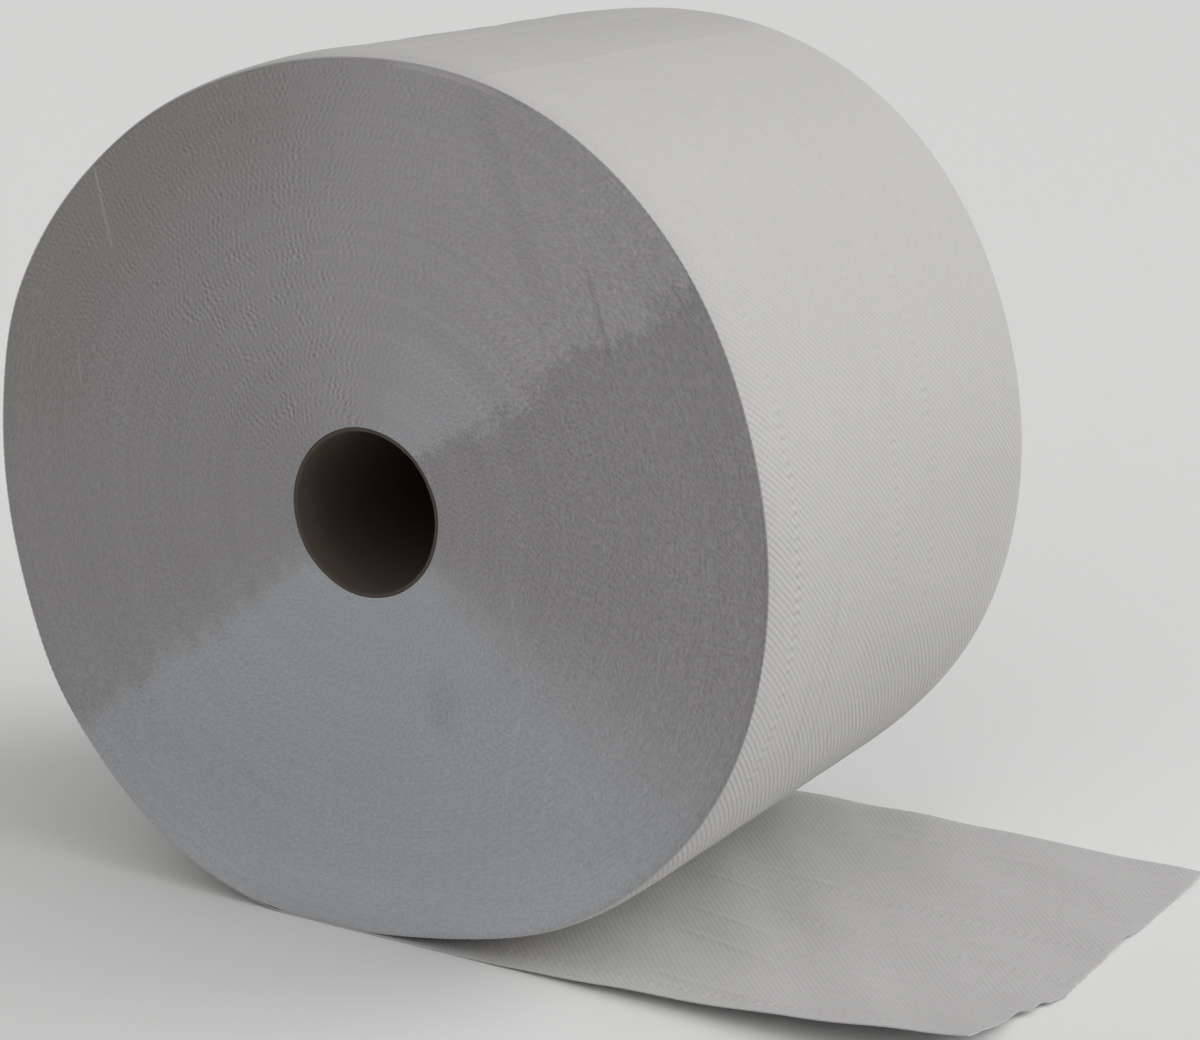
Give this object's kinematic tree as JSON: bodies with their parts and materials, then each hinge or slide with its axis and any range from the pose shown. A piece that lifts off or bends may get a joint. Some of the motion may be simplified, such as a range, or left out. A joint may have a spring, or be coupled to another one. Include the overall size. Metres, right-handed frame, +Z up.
{
  "type": "wiping paper roll",
  "caption": "Large wound roll of embossed wiping paper on a cardboard core, lying on its side with its first sheet drawn out flat and torn off.",
  "frame": {"origin": "centre of the core's bore, halfway along the roll", "axes": "+Y along the bore towards the roll's back end, +Z up as the roll lies, +X the way the drawn-out sheet runs"},
  "size_m": [0.4154, 0.22, 0.3265],
  "materials": {
    "core_board": "matt grey-brown core board, spirally wound",
    "tissue_paper": "matt off-white recycled tissue with fine diagonal rows of embossed dots"
  },
  "bodies": {
    "root": {"core_tube": "core_board", "paper_roll": "tissue_paper"}
  },
  "joints": []
}
